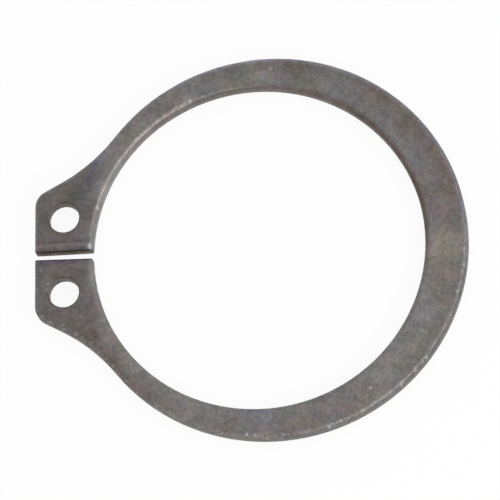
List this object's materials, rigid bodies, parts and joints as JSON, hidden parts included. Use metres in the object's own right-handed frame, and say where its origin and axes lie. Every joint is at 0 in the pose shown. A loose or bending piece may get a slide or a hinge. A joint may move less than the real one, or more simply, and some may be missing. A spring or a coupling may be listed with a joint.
{
  "type": "external retaining ring",
  "caption": "Open ring of spring steel with a thin gap between two drilled lugs, thickest opposite the gap, that snaps into a groove round a shaft.",
  "frame": {"origin": "centre of the inner circle, in the bottom face", "axes": "+Z along the ring's axis, out of the rolled top face; the gap and the lugs are at -X, the thickest part of the band at +X"},
  "size_m": [0.0303, 0.0276, 0.0012],
  "materials": {
    "spring_steel": "dull grey-brown oxide over tumbled spring steel, bare and brighter along the rubbed edges"
  },
  "bodies": {
    "root": {"retaining_ring": "spring_steel"}
  },
  "joints": []
}
